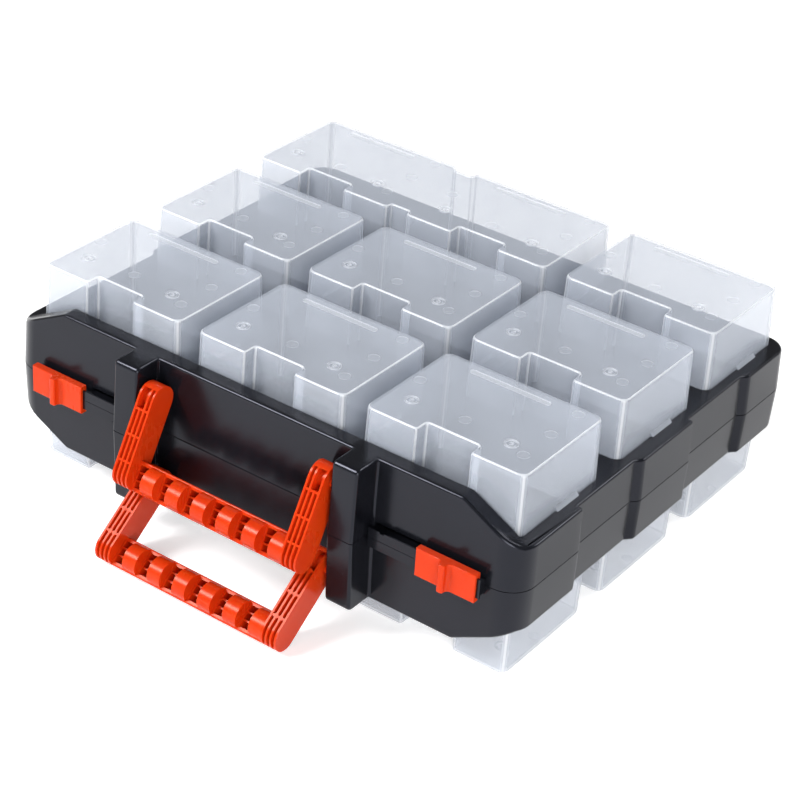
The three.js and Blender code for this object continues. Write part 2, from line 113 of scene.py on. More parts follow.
@contextmanager
def editing() -> Iterator[None]:
    """Keeps the active object's mesh open for editing."""
    bpy.ops.object.mode_set(mode="EDIT")
    yield
    bpy.ops.object.mode_set(mode="OBJECT")


def about(middle: float, half: float) -> tuple[float, float]:
    """The span that reaches as far on both sides of its middle."""
    return middle - half, middle + half


def named(name: str) -> Thing:
    """Names the active object and its mesh, and puts its size and place into the mesh.

    Args:
        name: The new name.

    Returns:
        The active object.
    """
    thing = bpy.context.active_object
    thing.name = name
    thing.data.name = name
    bpy.ops.object.transform_apply(location=True, rotation=True, scale=True)
    return thing


def block(name: str, x: Span, y: Span, z: Span) -> Thing:
    """Adds a block.

    Args:
        name: The object's name.
        x: Its two ends along X in millimetres, in either order.
        y: Its two ends along Y.
        z: Its two ends along Z.

    Returns:
        The new object.
    """
    bpy.ops.object.select_all(action="DESELECT")
    start, end = (Vector(corner) * MM for corner in zip(*(sorted(span) for span in (x, y, z)), strict=True))
    bpy.ops.mesh.primitive_cube_add(size=1, location=(start + end) / 2, scale=end - start)
    return named(name)


def cylinder(name: str, radius: float, length: float, centre: Span, turn: Span, sides: int) -> Thing:
    """Adds a cylinder.

    Args:
        name: The object's name.
        radius: The radius in millimetres.
        length: The length.
        centre: Its middle.
        turn: How it is turned from standing upright, in radians about X, Y and Z.
        sides: The number of flat sides.

    Returns:
        The new object.
    """
    bpy.ops.object.select_all(action="DESELECT")
    bpy.ops.mesh.primitive_cylinder_add(
        vertices=sides, radius=radius * MM, depth=length * MM, location=Vector(centre) * MM, rotation=turn
    )
    return named(name)


def bar(name: str, radius: float, span: Span, y: float, z: float, sides: int = 32) -> Thing:
    """Adds a round bar that runs between two places along X."""
    low, high = sorted(span)
    return cylinder(name, radius, high - low, ((low + high) / 2, y, z), (0, math.pi / 2, 0), sides)


def post(name: str, radius: float, x: float, y: float, span: Span, sides: int = 24) -> Thing:
    """Adds a round post that stands between two heights."""
    low, high = span
    return cylinder(name, radius, high - low, (x, y, (low + high) / 2), (0, 0, 0), sides)


def clear_picks(thing: Thing, points: bool, edges: bool, faces: bool) -> bpy.types.Mesh:
    """Deselects all of an object's mesh and sets what is going to be picked.

    Args:
        thing: The object.
        points: Whether points are picked.
        edges: Whether edges are picked.
        faces: Whether faces are picked.

    Returns:
        The object's mesh.
    """
    choose(thing)
    bpy.context.tool_settings.mesh_select_mode = (points, edges, faces)
    mesh = thing.data
    for element in (*mesh.polygons, *mesh.edges, *mesh.vertices):
        element.select = False
    return mesh


def pick_points(thing: Thing, test: PointTest) -> None:
    """Selects the points of a mesh that pass a test, which takes a point in millimetres."""
    for vertex in clear_picks(thing, True, False, False).vertices:
        vertex.select = test(vertex.co / MM)


def edge_turns(mesh: bpy.types.Mesh) -> list[float]:
    """Measures how far the surface turns at each edge.

    Args:
        mesh: The mesh.

    Returns:
        Degrees for each edge, above zero where the edge stands out and below zero in an inside corner.
    """
    sides: list[list[tuple[Vector, bool]]] = [[] for _ in mesh.edges]
    for face in mesh.polygons:
        for loop in face.loop_indices:
            corner = mesh.loops[loop]
            forward = corner.vertex_index == mesh.edges[corner.edge_index].vertices[0]
            sides[corner.edge_index].append((face.normal, forward))
    turns = []
    for edge, pair in zip(mesh.edges, sides, strict=True):
        if len(pair) != 2:
            turns.append(0.0)
            continue
        (first, forward), (second, _) = pair
        start, end = (mesh.vertices[index].co for index in edge.vertices)
        inward = first.cross(end - start if forward else start - end)
        angle = math.degrees(first.angle(second, 0.0))
        turns.append(angle if inward.dot(second) <= 0 else -angle)
    return turns


def pick_edges(thing: Thing, test: EdgeTest) -> int:
    """Selects the edges of a mesh that pass a test.

    Args:
        thing: The object.
        test: Takes an edge's two ends in millimetres and how far the surface turns there.

    Returns:
        The number of edges selected.
    """
    mesh = clear_picks(thing, False, True, False)
    count = 0
    for edge, turn in zip(mesh.edges, edge_turns(mesh), strict=True):
        ends = [mesh.vertices[index].co / MM for index in edge.vertices]
        edge.select = test(ends[0], ends[1], turn)
        count += edge.select
    return count


def upright(a: Vector, b: Vector) -> bool:
    """True if an edge runs up and down, give or take the draft of the mould."""
    return abs(a.z - b.z) > 10 * math.hypot(a.x - b.x, a.y - b.y)


def round_edges(thing: Thing, radius: float, steps: int, test: EdgeTest) -> None:
    """Rounds the edges that pass a test.

    Args:
        thing: The object.
        radius: The radius in millimetres.
        steps: The number of flat steps.
        test: Which edges, as in pick_edges.
    """
    if not pick_edges(thing, test):
        log.warning("no edges to round on %s", thing.name)
        return
    with editing():
        bpy.ops.mesh.bevel(
            offset=radius * MM, offset_type="OFFSET", segments=steps, affect="EDGES", clamp_overlap=False
        )


def slide(thing: Thing, test: PointTest, move: Span) -> None:
    """Moves the points that pass a test by a distance in millimetres."""
    pick_points(thing, test)
    with editing():
        bpy.ops.transform.translate(value=Vector(move) * MM)


def spread(thing: Thing, test: PointTest, factors: Span, centre: Span) -> None:
    """Draws the points that pass a test towards a centre or away from it.

    Args:
        thing: The object.
        test: Which points.
        factors: The factor along each axis.
        centre: The centre in millimetres.
    """
    pick_points(thing, test)
    with editing():
        bpy.ops.transform.resize(value=factors, center_override=Vector(centre) * MM)


def apply_modifier(thing: Thing, kind: str, **settings: object) -> None:
    """Works a modifier into an object's mesh.

    Args:
        thing: The object.
        kind: The modifier's type.
        settings: Its properties.
    """
    choose(thing)
    bpy.ops.object.modifier_add(type=kind)
    step = thing.modifiers[-1]
    for key, value in settings.items():
        setattr(step, key, value)
    bpy.ops.object.modifier_apply(modifier=step.name)


def change(thing: Thing, how: Change, *others: Thing) -> Thing:
    """Joins other solids to a solid, or cuts them from it, and removes them.

    Args:
        thing: The solid that stays.
        how: Join or cut.
        others: The solids that are used up.

    Returns:
        The solid that stays.
    """
    for other in others:
        apply_modifier(thing, "BOOLEAN", operation=how.value, solver="MANIFOLD", object=other)
        spent = other.data
        discard(other)
        bpy.data.meshes.remove(spent)
    return thing


def halve(thing: Thing, point: Span, normal: Span) -> None:
    """Cuts a solid by a plane and closes it, and keeps the side that the normal points away from.

    Args:
        thing: The solid.
        point: A point of the plane in millimetres.
        normal: The plane's normal.
    """
    choose(thing)
    with editing():
        bpy.ops.mesh.select_all(action="SELECT")
        bpy.ops.mesh.bisect(plane_co=Vector(point) * MM, plane_no=normal, use_fill=True, clear_outer=True)


def score(thing: Thing, normal: Span, levels: Sequence[float]) -> None:
    """Splits a solid's faces along planes, so that none of them has to run round a hole.

    Args:
        thing: The solid.
        normal: The planes' normal, of length one.
        levels: How far the planes stand from the origin, in millimetres.
    """
    choose(thing)
    with editing():
        for level in levels:
            bpy.ops.mesh.select_all(action="SELECT")
            bpy.ops.mesh.bisect(plane_co=Vector(normal) * level * MM, plane_no=normal)


def copied(thing: Thing, name: str) -> Thing:
    """Copies an object with its own mesh, under a new name."""
    choose(thing)
    bpy.ops.object.duplicate()
    return named(name)


def put(thing: Thing, turn: Span, place: Span) -> Thing:
    """Turns an object about the origin and moves it, with the result in its mesh.

    Args:
        thing: The object.
        turn: Degrees about X, Y and Z.
        place: How far it moves, in millimetres.

    Returns:
        The same object.
    """
    choose(thing)
    thing.rotation_euler = [math.radians(angle) for angle in turn]
    thing.location = Vector(place) * MM
    bpy.ops.object.transform_apply(location=True, rotation=True, scale=True)
    return thing


def flatten(thing: Thing, degrees: float = 0.4) -> None:
    """Merges faces that lie in one plane, give or take some degrees."""
    choose(thing)
    with editing():
        bpy.ops.mesh.select_all(action="SELECT")
        bpy.ops.mesh.dissolve_limited(angle_limit=math.radians(degrees))


def smooth(thing: Thing, degrees: float = 32) -> None:
    """Shades a piece smooth up to an angle, so that its large faces stay flat and only the rounded edges turn.

    Args:
        thing: The piece.
        degrees: Where faces turn further than this, the edge between them is sharp.
    """
    choose(thing)
    bpy.ops.object.shade_smooth_by_angle(angle=math.radians(degrees))
    apply_modifier(thing, "WEIGHTED_NORMAL", mode="FACE_AREA", weight=60, keep_sharp=True)


# Finishes


def linear(colour: str) -> tuple[float, float, float, float]:
    """Turns an sRGB hex colour to linear light.

    Args:
        colour: Six hex digits after a hash.

    Returns:
        Red, green, blue and an alpha of one.
    """
    parts = [int(colour[place : place + 2], 16) / 255 for place in (1, 3, 5)]
    red, green, blue = (part / 12.92 if part <= 0.04045 else ((part + 0.055) / 1.055) ** 2.4 for part in parts)
    return red, green, blue, 1.0


def add_node(tree: bpy.types.NodeTree, kind: str, settings: dict[str | int, object] | None = None) -> bpy.types.Node:
    """Adds a node with its settings and links.

    Args:
        tree: The node tree.
        kind: The node's type after "ShaderNode".
        settings: The output or value that each of its sockets gets, or a value of its own where no socket has that
            name.

    Returns:
        The new node.
    """
    made = tree.nodes.new(f"ShaderNode{kind}")
    for key, value in (settings or {}).items():
        if isinstance(value, Socket):
            tree.links.new(value, made.inputs[key])
        elif isinstance(key, int) or key in made.inputs:
            made.inputs[key].default_value = value
        else:
            setattr(made, key, value)
    return made


@dataclass(frozen=True)
class Patterns:
    """The nodes that a finish is drawn with, each given as the output that it ends in."""

    tree: bpy.types.NodeTree

    def object_place(self) -> Socket:
        """The place on the object, in metres."""
        return add_node(self.tree, "TexCoord").outputs["Object"]

    def noise(
        self, place: Socket, size: float, detail: float, roughness: float = 0.5
    ) -> Socket:
        """Noise whose features are a size in millimetres apart."""
        settings = {"Scale": 1 / (size * MM), "Detail": detail, "Roughness": roughness, "Vector": place}
        return add_node(self.tree, "TexNoise", settings).outputs["Fac"]

    def stretched(self, place: Socket, factors: Span) -> Socket:
        """The place with each axis multiplied by a factor."""
        return add_node(self.tree, "Mapping", {"Scale": factors, "Vector": place}).outputs["Vector"]

    def remapped(self, value: Socket, source: Span, target: Span = (0, 1)) -> Socket:
        """A value moved from one range to another, and held inside it."""
        settings = {0: value, 1: source[0], 2: source[1], 3: target[0], 4: target[1]}
        return add_node(self.tree, "MapRange", settings).outputs[0]

    def reckoned(self, operation: str, *values: Socket | float, clamp: bool = False) -> Socket:
        """The result of a Math node."""
        settings = {"operation": operation, "use_clamp": clamp, **dict(enumerate(values))}
        return add_node(self.tree, "Math", settings).outputs[0]

    def blended(self, share: Socket, first: object, second: object) -> Socket:
        """A colour between two others, by the share of the second."""
        return add_node(self.tree, "Mix", {"data_type": "RGBA", 0: share, 6: first, 7: second}).outputs[2]

    def raised(self, height: Socket, strength: float, distance: float) -> Socket:
        """A bumped normal, with the bumps' full height in millimetres."""
        settings = {"Strength": strength, "Distance": distance * MM, "Height": height}
        return add_node(self.tree, "Bump", settings).outputs["Normal"]


def blank_material(name: str) -> tuple[bpy.types.Material, bpy.types.NodeTree, bpy.types.Node]:
    """Starts a material with an output alone.

    Args:
        name: The material's name.

    Returns:
        The material, its node tree and its output node.
    """
    material = bpy.data.materials.new(name)
    material.use_nodes = True
    tree = material.node_tree
    tree.nodes.clear()
    return material, tree, add_node(tree, "OutputMaterial")


@dataclass(frozen=True)
class Finish:
    """A procedural finish at real scale."""

    name: str

    def skin(self, patterns: Patterns, place: Socket) -> dict[str | int, object]:
        """Draws the finish.

        Args:
            patterns: Adds the nodes.
            place: The place on the object.

        Returns:
            What each socket of the surface gets.
        """
        raise NotImplementedError

    def material(self) -> bpy.types.Material:
        """Makes the material.

        Returns:
            The material.
        """
        material, tree, output = blank_material(self.name)
        patterns = Patterns(tree)
        surface = add_node(tree, "BsdfPrincipled", self.skin(patterns, patterns.object_place()))
        tree.links.new(surface.outputs["BSDF"], output.inputs["Surface"])
        return material


@dataclass(frozen=True)
class MouldedPolypropylene(Finish):
    """Injection-moulded polypropylene, coloured through: an even waxy satin skin over a fine eroded grain."""

    colour: str
    deep_colour: str
    roughness: float
    roughness_swing: float
    specular: float = 0.5
    tint: str = "#ffffff"
    bleed: float = 0.0
    bleed_depth: float = 1.0
    bleed_radii: tuple[float, float, float] = (1.0, 0.25, 0.12)
    grain: float = 0.9
    grain_height: float = 0.03
    relief: float = 0.35
    flow: float = 45.0
    streak: float = 2.4
    streak_length: float = 60.0
    streak_swing: float = 0.05
    speck: float = 16.0
    speck_size: float = 0.35
    speck_colour: str = "#9a9ca0"
    ior: float = 1.49

    def skin(self, patterns: Patterns, place: Socket) -> dict[str | int, object]:
        """Draws the finish, as in Finish."""
        # Slow bands that the plastic leaves as it fills the mould
        bands = patterns.noise(place, self.flow, 3.0, 0.55)
        banded = patterns.remapped(bands, (0.35, 0.65))
        even = patterns.blended(banded, linear(self.deep_colour), linear(self.colour))
        # Pale specks of dust, drawn twice their size so that they show
        nearest = add_node(patterns.tree, "TexVoronoi", {"Scale": 1 / (self.speck * MM), "Vector": place})
        dusty = patterns.remapped(nearest.outputs["Distance"], (self.speck_size / self.speck, 0.0))
        # Upright drag lines, where the moulding has slid along the mould as it came out
        drag_place = patterns.stretched(place, (1.0, 1.0, self.streak / self.streak_length))
        drag = patterns.noise(drag_place, self.streak, 3.0)
        low, high = self.roughness - self.roughness_swing, self.roughness + self.roughness_swing
        even_gloss = patterns.remapped(bands, (0.3, 0.7), (low, high))
        # The eroded grain is about 0.2 mm across, which is too fine to show, so it is drawn coarser
        grain = patterns.noise(place, self.grain, 2.0, 0.6)
        return {
            "IOR": self.ior,
            "Specular IOR Level": self.specular,
            "Specular Tint": linear(self.tint),
            "Subsurface Weight": self.bleed,
            "Subsurface Radius": self.bleed_radii,
            "Subsurface Scale": self.bleed_depth * MM,
            "Base Color": patterns.blended(dusty, even, linear(self.speck_colour)),
            "Roughness": patterns.reckoned("MULTIPLY_ADD", drag, self.streak_swing, even_gloss),
            "Normal": patterns.raised(grain, self.relief, self.grain_height),
        }


@dataclass(frozen=True)
class ClarifiedPolypropylene(Finish):
    """Thin clear polypropylene: a bluish haze that thickens where a wall is seen edge on, under a glossy skin, with
    painted highlights on its rounded edges and moulded marks.
    """

    name: str = "clarified_polypropylene"
    colour: str = "#dde4f0"
    # The whiter colour of the painted highlights on rounded edges and marks
    thick_colour: str = "#eff2f8"
    haze: float = 0.27
    haze_swing: float = 0.06
    edge_haze: float = 0.32
    edge_blend: float = 0.35
    edge_power: float = 2.5
    # How much haze the painted highlights add
    thick_haze: float = 0.25
    roughness: float = 0.18
    specular: float = 0.65
    ior: float = 1.49
    flow: float = 30.0
    ripple: float = 40.0
    ripple_height: float = 0.02
    relief: float = 0.3

    def skin(self, patterns: Patterns, place: Socket) -> dict[str | int, object]:
        """Draws the finish, as in Finish."""
        # Faint clouds, so that the haze isn't quite even over a wall
        thin, dense = self.haze * (1 - self.haze_swing), self.haze * (1 + self.haze_swing)
        cloud = patterns.remapped(patterns.noise(place, self.flow, 2.0), (0.3, 0.7), (thin, dense))
        # A wall seen edge on shows more of its haze
        facing = add_node(patterns.tree, "LayerWeight", {"Blend": self.edge_blend}).outputs["Facing"]
        edge = patterns.reckoned("MULTIPLY", patterns.reckoned("POWER", facing, self.edge_power), self.edge_haze)
        wall_haze = patterns.reckoned("ADD", cloud, edge)
        # Painted highlight: the rounded edges and the moulded marks are whitened and made denser, standing in for the
        # glints and refraction that show them as bright lines
        edge_highlight = add_node(patterns.tree, "Attribute", {"attribute_name": "thick_place"}).outputs["Fac"]
        # Long shallow waves in the skin, which unsettle what it mirrors
        waves = patterns.noise(place, self.ripple, 1.0)
        return {
            "Roughness": self.roughness,
            "IOR": self.ior,
            "Specular IOR Level": self.specular,
            # Base colour and alpha rise towards the painted highlight on rounded edges and marks
            "Base Color": patterns.blended(edge_highlight, linear(self.colour), linear(self.thick_colour)),
            "Alpha": patterns.reckoned("MULTIPLY_ADD", edge_highlight, self.thick_haze, wall_haze, clamp=True),
            "Normal": patterns.raised(waves, self.relief, self.ripple_height),
        }


@dataclass(frozen=True)
class DrawnWire(Finish):
    """Bright drawn steel wire: fine lines along the wire break up its shine."""

    name: str = "drawn_steel_wire"
    colour: str = "#c4c6c8"
    roughness: tuple[float, float] = (0.22, 0.38)
    line: float = 0.25
    line_stretch: float = 0.02
    line_height: float = 0.02
    relief: float = 0.4

    def skin(self, patterns: Patterns, place: Socket) -> dict[str | int, object]:
        """Draws the finish, as in Finish."""
        # Drawing lines along the wire, coarser than they are so that they show
        lines = patterns.noise(patterns.stretched(place, (self.line_stretch, 1.0, 1.0)), self.line, 3.0)
        return {
            "Base Color": linear(self.colour),
            "Metallic": 1.0,
            "Roughness": patterns.remapped(lines, (0, 1), self.roughness),
            "Normal": patterns.raised(lines, self.relief, self.line_height),
        }


# Waxy black, slightly blue in its shine
BLACK = MouldedPolypropylene(
    "black_polypropylene", "#131419", "#0f1014", 0.18, 0.03, specular=0.33, tint="#e0e3f6"
)
# Orange that lets some light through at its thin ribs, so that its shadows stay warm
ORANGE = MouldedPolypropylene(
    "orange_polypropylene",
    "#d43b0d",
    "#cc350b",
    0.25,
    0.03,
    specular=0.24,
    tint="#ffe4d2",
    bleed=0.35,
    bleed_depth=3.0,
    grain=1.4,
    streak_swing=0.03,
    speck_size=0.2,
    speck_colour="#f0a080",
)
CLEAR = ClarifiedPolypropylene()
STEEL = DrawnWire()


def dress(thing: Thing, material: bpy.types.Material) -> None:
    """Gives an object one material."""
    thing.data.materials.clear()
    thing.data.materials.append(material)


def hand_over(thing: Thing, material: bpy.types.Material, body: str, node: str) -> None:
    """Dresses a finished piece, fixes it to the body that it moves with, and hides the node of the frame that it
    stands for.

    Args:
        thing: The finished piece.
        material: Its finish.
        body: The body that it moves with.
        node: The node of the frame that it replaces.
    """
    dress(thing, material)
    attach(thing, body)
    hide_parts(node)
    log.info("%s: %d faces, on %s", thing.name, len(thing.data.polygons), body)


# Sub-assemblies


@dataclass
class Bins:
    """The clear bins of both halves, each open at the seam."""

    reach: float = 68.2
    width: float = 109.0
    depth: float = 82.0
    wall: float = 1.4
    slope: float = 0.021
    corner: float = 6.0
    top_edge: float = 2.2
    pitch: float = 123.1
    row_pitch: float = 103.5
    notch_width: float = 35.4
    notch_depth: float = 10.0
    notch_outer: float = 2.5
    notch_inner: float = 1.8
    waist_depth: float = 5.3
    waist_corner: float = 4.0
    waist_inner: float = 1.0
    side_overrun: float = 5.0
    rim_level: float = 1.3
    rim_width: float = 2.0
    sleeve_gap: float = 0.5
    tab_level: float = 28.8
    tab_length: float = 22.0
    tab_offset: float = 5.0
    tab_height: float = 2.2
    tab_reach: float = 1.5
    tab_top: float = 0.6
    # Share of the painted highlight left on the snap tabs
    tab_haze: float = 0.2
    label_length: float = 55.5
    label_width: float = 4.0
    label_depth: float = 0.5
    label_offset: float = 4.0
    label_margin: float = 9.7
    ring_radius: float = 4.4
    ring_width: float = 1.3
    ring_dot: float = 1.4
    ring_depth: float = 0.6
    # Painted highlight on the floors of the ring marks and the label slot
    ring_haze: float = 0.6
    disc_radius: float = 3.8
    disc_depth: float = 0.2
    # Painted highlight on the floors of the disc marks
    disc_haze: float = 0.15
    # Leans of a face in degrees between which its painted highlight grows from none to full
    flat_lean: float = 27.0
    edge_lean: float = 42.0
    rings: tuple[tuple[float, float], ...] = ((-38.1, -17.9), (29.8, -17.9))
    discs: tuple[tuple[float, float], ...] = ((-47.2, 2.8), (-3.2, -15.2), (41.3, -23.2), (41.3, 4.8), (41.3, 32.8))

    def centres(self, cells: int) -> list[float]:
        """Centres of the cells that one bin covers, along X from its middle."""
        return [0.0] if cells == 1 else [-self.pitch / 2, self.pitch / 2]

    def drawn(self, level: float) -> float:
        """How far a wall stands out at a height because of the draft."""
        return (self.reach - level) * self.slope

    def plan(self, name: str, cells: int, grow: float, low: float, high: float) -> Thing:
        """Raises the bin's plan, with its finger notches and its waist, between two heights.

        Args:
            name: The object's name.
            cells: One or two cells.
            grow: How much wider than the bin, all round.
            low: The lower height.
            high: The upper height.

        Returns:
            The solid, with its middle at the origin.
        """
        centres = self.centres(cells)
        half_span = centres[-1] + self.width / 2 + grow
        half_depth = self.depth / 2 + grow
        half_notch = self.notch_width / 2 - grow
        notch_back = -half_depth + self.notch_depth
        half_waist = (self.pitch - self.width) / 2 - grow
        waist_back = half_depth - self.waist_depth
        outside = half_depth + self.side_overrun
        through = (low - OVERRUN, high + OVERRUN)
        body = block(name, (-half_span, half_span), (-half_depth, half_depth), (low, high))
        for centre in centres:
            change(body, Change.CUT, block("notch", about(centre, half_notch), (-outside, notch_back), through))
        if cells == 2:
            for side in (-1, 1):
                inward = (side * waist_back, side * outside)
                change(body, Change.CUT, block("waist", (-half_waist, half_waist), inward, through))

        def corner_at(x: float, y: float, mirrored: bool = True) -> EdgeTest:
            def test(a: Vector, b: Vector, turn: float) -> bool:
                place = (abs(a.x), abs(a.y)) if mirrored else (a.x, a.y)
                return upright(a, b) and abs(place[0] - x) < LOOSE_TOUCH and abs(place[1] - y) < LOOSE_TOUCH

            return test

        round_edges(body, self.corner + grow, 7, corner_at(half_span, half_depth))
        if cells == 2:
            round_edges(body, self.waist_corner, 5, corner_at(half_waist, half_depth))
            round_edges(body, self.waist_inner, 3, corner_at(half_waist, waist_back))
        for centre in centres:
            for side in (-1, 1):
                place = centre + side * half_notch
                round_edges(body, self.notch_outer + grow / 2, 3, corner_at(place, -half_depth, mirrored=False))
                round_edges(body, self.notch_inner, 3, corner_at(place, notch_back, mirrored=False))
        for level in (low, high):
            out = self.drawn(level)
            if abs(out) > 0.001:
                factors = ((half_span + out) / half_span, (half_depth + out) / half_depth, 1)
                spread(body, lambda p, level=level: abs(p.z - level) < TOUCH, factors, (0, 0, 0))
        return body

    def marks(self, centre: float) -> list[Thing]:
        """Makes the sunk marks that the mould leaves on a cell's closed end.

        Args:
            centre: The cell's centre along X.

        Returns:
            The solids to cut away.
        """
        top = self.reach + OVERRUN
        sunk = (self.reach - self.ring_depth, top)
        found = []
        for x, y in self.rings:
            ring = post("ring", self.ring_radius, centre + x, y, sunk, 32)
            past = (self.reach - OVERRUN, top + OVERRUN)
            core = post("core", self.ring_radius - self.ring_width, centre + x, y, past, 28)
            dot = post("dot", self.ring_dot, centre + x, y, sunk, 20)
            found.append(change(change(ring, Change.CUT, core), Change.JOIN, dot))
        for x, y in self.discs:
            found.append(post("disc", self.disc_radius, centre + x, y, (self.reach - self.disc_depth, top), 28))
        return found

    def open_up(self, bin_piece: Thing, cells: int, low: float) -> None:
        """Takes the floor off a bin's solid, gives it a rim and makes a shell of it.

        Args:
            bin_piece: The solid.
            cells: One or two cells.
            low: The height of its floor.
        """
        for face in clear_picks(bin_piece, False, False, True).polygons:
            face.select = face.normal.z < -0.9
        with editing():
            bpy.ops.mesh.delete(type="FACE")
        pick_edges(bin_piece, lambda a, b, turn: max(a.z, b.z) < low + TOUCH)
        half_span = self.centres(cells)[-1] + self.width / 2 + self.drawn(low)
        half_depth = self.depth / 2 + self.drawn(low)
        factors = ((half_span + self.rim_width) / half_span, (half_depth + self.rim_width) / half_depth, 1)
        with editing():
            bpy.ops.mesh.extrude_edges_move(TRANSFORM_OT_translate={"value": (0, 0, 0)})
            bpy.ops.transform.resize(value=factors, center_override=(0, 0, low * MM))
        apply_modifier(bin_piece, "SOLIDIFY", thickness=self.wall * MM, offset=-1, use_even_offset=True)

    def add_tabs(self, bin_piece: Thing, cells: int) -> None:
        """Joins the snap tab on each side, which slopes in towards its top.

        Args:
            bin_piece: The bin.
            cells: One or two cells.
        """
        root = self.centres(cells)[-1] + self.width / 2 + self.drawn(self.tab_level) - self.wall / 2
        tip = root + self.wall / 2 + self.sleeve_gap + self.tab_reach
        along = about(self.tab_offset, self.tab_length / 2)
        high = (self.tab_level, self.tab_level + self.tab_height)
        for side in (-1, 1):
            end = side * tip
            tab = block("tab", (side * root, end), along, high)
            slide(
                tab,
                lambda p, end=end: abs(p.x - end) < TOUCH and p.z > self.tab_level + 1,
                (-side * (tip - root - self.tab_top), 0, 0),
            )
            change(bin_piece, Change.JOIN, tab)

    def cut_labels(self, bin_piece: Thing, cells: int) -> None:
        """Cuts the label slot and the moulding marks into the closed end.

        Args:
            bin_piece: The bin.
            cells: One or two cells.
        """
        half_width = self.label_width / 2
        across = about(self.depth / 2 - self.label_margin, half_width)
        sunk = (self.reach - self.label_depth, self.reach + OVERRUN)
        for centre in self.centres(cells):
            label = block("label", about(centre - self.label_offset, self.label_length / 2), across, sunk)
            round_edges(label, half_width - 0.05, 6, lambda a, b, turn: abs(a.z - b.z) > 1)
            change(bin_piece, Change.CUT, label, *self.marks(centre))

    def make(self, cells: int) -> Thing:
        """Models one bin at the origin.

        Args:
            cells: One or two cells.

        Returns:
            The bin.
        """
        low = self.rim_level + self.wall
        bin_piece = self.plan("bin", cells, 0, low, self.reach)
        round_edges(
            bin_piece, self.top_edge, 3, lambda a, b, turn: min(a.z, b.z) > self.reach - TOUCH and turn > SHARP
        )
        self.open_up(bin_piece, cells, low)
        self.add_tabs(bin_piece, cells)
        self.cut_labels(bin_piece, cells)
        # Paints highlights on the rounded edges and the moulded marks
        self.note_thick_places(bin_piece)
        smooth(bin_piece)
        return bin_piece

    def note_thick_places(self, bin_piece: Thing) -> None:
        """Marks where highlights are painted, on rounded edges and on the moulded marks, as an attribute from zero to
        one that the finish reads.

        Args:
            bin_piece: The bin at the origin.
        """
        values = []
        for face in bin_piece.data.polygons:
            lean = math.degrees(math.acos(min(1.0, max(abs(part) for part in face.normal))))
            value = min(1.0, max(0.0, (lean - self.flat_lean) / (self.edge_lean - self.flat_lean)))
            level = face.center.z / MM
            # The snap tabs keep only a little of the painted highlight
            if self.tab_level - BITE < level < self.tab_level + self.tab_height + BITE:
                value *= self.tab_haze
            # The label slot and the marks lie between the two skins of the closed end; their walls get the full
            # painted highlight, and their floors a fainter one
            if self.reach - self.wall / 2 - 0.2 < level < self.reach - LOOSE_TOUCH:
                if abs(face.normal.z) < 0.5:
                    value = 1.0
                elif abs(level - self.reach + self.disc_depth) < 0.02:
                    value = self.disc_haze
                elif face.normal.z > 0.99:
                    value = self.ring_haze
            values.append(value)
        noted = bin_piece.data.attributes.new("thick_place", "FLOAT", "FACE")
        noted.data.foreach_set("value", values)

    def places(self) -> list[tuple[str, int, int, float, float]]:
        """Lists the bins of one half.

        Returns:
            The row's name, the column or -1 for the double bin, the number of cells, and the place of its middle.
        """
        found = [
            (row, column, 1, (column - 1) * self.pitch, y)
            for row, y in (("front", -self.row_pitch), ("centre", 0.0))
            for column in range(3)
        ]
        found.append(("rear", 2, 1, self.pitch, self.row_pitch))
        found.append(("rear", -1, 2, -self.pitch / 2, self.row_pitch))
        return found


